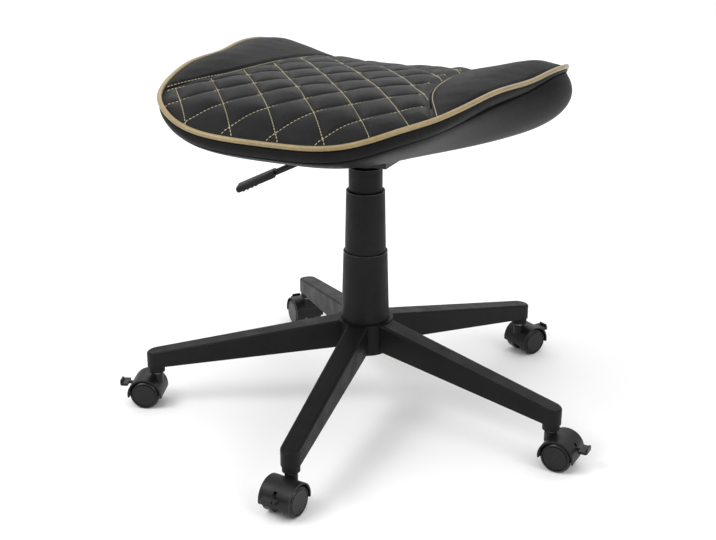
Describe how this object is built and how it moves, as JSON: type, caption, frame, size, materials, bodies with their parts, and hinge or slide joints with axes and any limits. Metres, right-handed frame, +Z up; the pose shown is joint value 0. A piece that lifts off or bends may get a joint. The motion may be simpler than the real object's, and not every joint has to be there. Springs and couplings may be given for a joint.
{
  "type": "gaming stool",
  "caption": "Gaming stool with a diamond-quilted saddle seat, raised wings and a piped rim on a swivelling gas-lift column with a telescopic cover and a star base on braked casters.",
  "frame": {"origin": "on the floor under the axis of the gas column", "axes": "+Z up along the column, -Y towards the front of the seat, +X towards the sitter's left"},
  "size_m": [0.6397, 0.6315, 0.4776],
  "materials": {
    "seat_leather": "satin",
    "gold_piping": "satin",
    "base_paint": "matte",
    "cover_plastic": "matte",
    "black_steel": "satin",
    "bright_steel": "satin",
    "bush_plastic": "satin",
    "grip_plastic": "satin",
    "board_wood": "matte",
    "caster_plastic": "satin",
    "wheel_plastic": "satin"
  },
  "bodies": {
    "base": {"base_hub": "base_paint", "base_leg_1": "base_paint", "base_leg_2": "base_paint", "base_leg_3": "base_paint", "base_leg_4": "base_paint", "base_leg_5": "base_paint", "column_tube": "black_steel", "guide_bush": "bush_plastic", "thrust_bearing": "bright_steel", "cover_lower": "cover_plastic"},
    "spindle": {"piston_rod": "bright_steel", "rod_clip": "bright_steel"},
    "seat": {"gas_cylinder": "black_steel", "cylinder_end_cap": "black_steel", "cover_upper": "cover_plastic", "taper_socket": "black_steel", "seat_plate": "black_steel", "lever_pin": "bright_steel", "plate_bolts": "bright_steel", "tee_nuts": "bright_steel", "seat_board": "board_wood", "seat_body": "seat_leather", "quilted_pad": "seat_leather", "wing_pad_left": "seat_leather", "wing_pad_right": "seat_leather", "piping": "gold_piping"},
    "cover_middle": {"cover_middle": "cover_plastic"},
    "lever": {"lever_rod": "black_steel", "lever_grip": "grip_plastic"},
    "release_pin": {"release_pin": "bright_steel"},
    "caster_1": {"caster_1_hood": "caster_plastic", "caster_1_stem": "bright_steel", "caster_1_axle": "bright_steel"},
    "caster_1_wheel_left": {"caster_1_wheel_left": "wheel_plastic"},
    "caster_1_wheel_right": {"caster_1_wheel_right": "wheel_plastic"},
    "caster_1_brake": {"caster_1_brake": "caster_plastic"},
    "caster_2": {"caster_2_hood": "caster_plastic", "caster_2_stem": "bright_steel", "caster_2_axle": "bright_steel"},
    "caster_2_wheel_left": {"caster_2_wheel_left": "wheel_plastic"},
    "caster_2_wheel_right": {"caster_2_wheel_right": "wheel_plastic"},
    "caster_2_brake": {"caster_2_brake": "caster_plastic"},
    "caster_3": {"caster_3_hood": "caster_plastic", "caster_3_stem": "bright_steel", "caster_3_axle": "bright_steel"},
    "caster_3_wheel_left": {"caster_3_wheel_left": "wheel_plastic"},
    "caster_3_wheel_right": {"caster_3_wheel_right": "wheel_plastic"},
    "caster_3_brake": {"caster_3_brake": "caster_plastic"},
    "caster_4": {"caster_4_hood": "caster_plastic", "caster_4_stem": "bright_steel", "caster_4_axle": "bright_steel"},
    "caster_4_wheel_left": {"caster_4_wheel_left": "wheel_plastic"},
    "caster_4_wheel_right": {"caster_4_wheel_right": "wheel_plastic"},
    "caster_4_brake": {"caster_4_brake": "caster_plastic"},
    "caster_5": {"caster_5_hood": "caster_plastic", "caster_5_stem": "bright_steel", "caster_5_axle": "bright_steel"},
    "caster_5_wheel_left": {"caster_5_wheel_left": "wheel_plastic"},
    "caster_5_wheel_right": {"caster_5_wheel_right": "wheel_plastic"},
    "caster_5_brake": {"caster_5_brake": "caster_plastic"}
  },
  "joints": [
    {"name": "seat_swivel", "type": "hinge", "parent": "base", "child": "spindle", "pos_m": [0, 0, 0.1], "axis": [0, 0, 1], "continuous": true},
    {"name": "seat_lift", "type": "slide", "parent": "spindle", "child": "seat", "axis": [0, 0, 1], "range_m": [-0.058, 0.05]},
    {"name": "cover_middle_slide", "type": "slide", "parent": "base", "child": "cover_middle", "axis": [0, 0, 1], "range_m": [-0.036, 0.031]},
    {"name": "lever_lift", "type": "hinge", "parent": "seat", "child": "lever", "pos_m": [-0.02443, -0.00889, 0.37], "axis": [-0.342, 0.9397, 0], "range_deg": [0, 6], "stiffness_Nm_per_rad": 3, "springref_deg": -17.19},
    {"name": "release_pin_press", "type": "slide", "parent": "seat", "child": "release_pin", "axis": [0, 0, -1], "range_m": [0, 0.0035]},
    {"name": "caster_1_swivel", "type": "hinge", "parent": "base", "child": "caster_1", "pos_m": [-0.2583, -0.12045, 0.049], "axis": [0, 0, 1], "continuous": true},
    {"name": "caster_1_wheel_left_roll", "type": "hinge", "parent": "caster_1", "child": "caster_1_wheel_left", "pos_m": [-0.27192, -0.1254, 0.02], "axis": [0.342, -0.9397, 0], "continuous": true},
    {"name": "caster_1_wheel_right_roll", "type": "hinge", "parent": "caster_1", "child": "caster_1_wheel_right", "pos_m": [-0.27192, -0.1254, 0.02], "axis": [0.342, -0.9397, 0], "continuous": true},
    {"name": "caster_1_brake_press", "type": "hinge", "parent": "caster_1", "child": "caster_1_brake", "pos_m": [-0.28273, -0.12934, 0.03], "axis": [0.342, -0.9397, 0], "range_deg": [0, 18]},
    {"name": "caster_2_swivel", "type": "hinge", "parent": "base", "child": "caster_2", "pos_m": [0.03473, -0.28288, 0.049], "axis": [0, 0, 1], "continuous": true},
    {"name": "caster_2_wheel_left_roll", "type": "hinge", "parent": "caster_2", "child": "caster_2_wheel_left", "pos_m": [0.03297, -0.29727, 0.02], "axis": [0.9925, -0.1219, 0], "continuous": true},
    {"name": "caster_2_wheel_right_roll", "type": "hinge", "parent": "caster_2", "child": "caster_2_wheel_right", "pos_m": [0.03297, -0.29727, 0.02], "axis": [0.9925, -0.1219, 0], "continuous": true},
    {"name": "caster_2_brake_press", "type": "hinge", "parent": "caster_2", "child": "caster_2_brake", "pos_m": [0.03156, -0.30868, 0.03], "axis": [0.9925, -0.1219, 0], "range_deg": [0, 18]},
    {"name": "caster_3_swivel", "type": "hinge", "parent": "base", "child": "caster_3", "pos_m": [0.27976, -0.05438, 0.049], "axis": [0, 0, 1], "continuous": true},
    {"name": "caster_3_wheel_left_roll", "type": "hinge", "parent": "caster_3", "child": "caster_3_wheel_left", "pos_m": [0.29424, -0.05514, 0.02], "axis": [0.0523, 0.9986, 0], "continuous": true},
    {"name": "caster_3_wheel_right_roll", "type": "hinge", "parent": "caster_3", "child": "caster_3_wheel_right", "pos_m": [0.29424, -0.05514, 0.02], "axis": [0.0523, 0.9986, 0], "continuous": true},
    {"name": "caster_3_brake_press", "type": "hinge", "parent": "caster_3", "child": "caster_3_brake", "pos_m": [0.30573, -0.05574, 0.03], "axis": [0.0523, 0.9986, 0], "range_deg": [0, 18]},
    {"name": "caster_4_swivel", "type": "hinge", "parent": "base", "child": "caster_4", "pos_m": [0.13817, 0.24927, 0.049], "axis": [0, 0, 1], "continuous": true},
    {"name": "caster_4_wheel_left_roll", "type": "hinge", "parent": "caster_4", "child": "caster_4_wheel_left", "pos_m": [0.14542, 0.26182, 0.02], "axis": [-0.866, 0.5, 0], "continuous": true},
    {"name": "caster_4_wheel_right_roll", "type": "hinge", "parent": "caster_4", "child": "caster_4_wheel_right", "pos_m": [0.14542, 0.26182, 0.02], "axis": [-0.866, 0.5, 0], "continuous": true},
    {"name": "caster_4_brake_press", "type": "hinge", "parent": "caster_4", "child": "caster_4_brake", "pos_m": [0.15117, 0.27178, 0.03], "axis": [-0.866, 0.5, 0], "range_deg": [0, 18]},
    {"name": "caster_5_swivel", "type": "hinge", "parent": "base", "child": "caster_5", "pos_m": [-0.19437, 0.20844, 0.049], "axis": [0, 0, 1], "continuous": true},
    {"name": "caster_5_wheel_left_roll", "type": "hinge", "parent": "caster_5", "child": "caster_5_wheel_left", "pos_m": [-0.20548, 0.21776, 0.02], "axis": [-0.6428, -0.766, 0], "continuous": true},
    {"name": "caster_5_wheel_right_roll", "type": "hinge", "parent": "caster_5", "child": "caster_5_wheel_right", "pos_m": [-0.20548, 0.21776, 0.02], "axis": [-0.6428, -0.766, 0], "continuous": true},
    {"name": "caster_5_brake_press", "type": "hinge", "parent": "caster_5", "child": "caster_5_brake", "pos_m": [-0.21429, 0.22515, 0.03], "axis": [-0.6428, -0.766, 0], "range_deg": [0, 18]}
  ],
  "couplings": [
    {"joint": "cover_middle_slide", "follows": "seat_lift", "ratio": 0.6},
    {"joint": "release_pin_press", "follows": "lever_lift", "m_per_rad": 0.029}
  ]
}
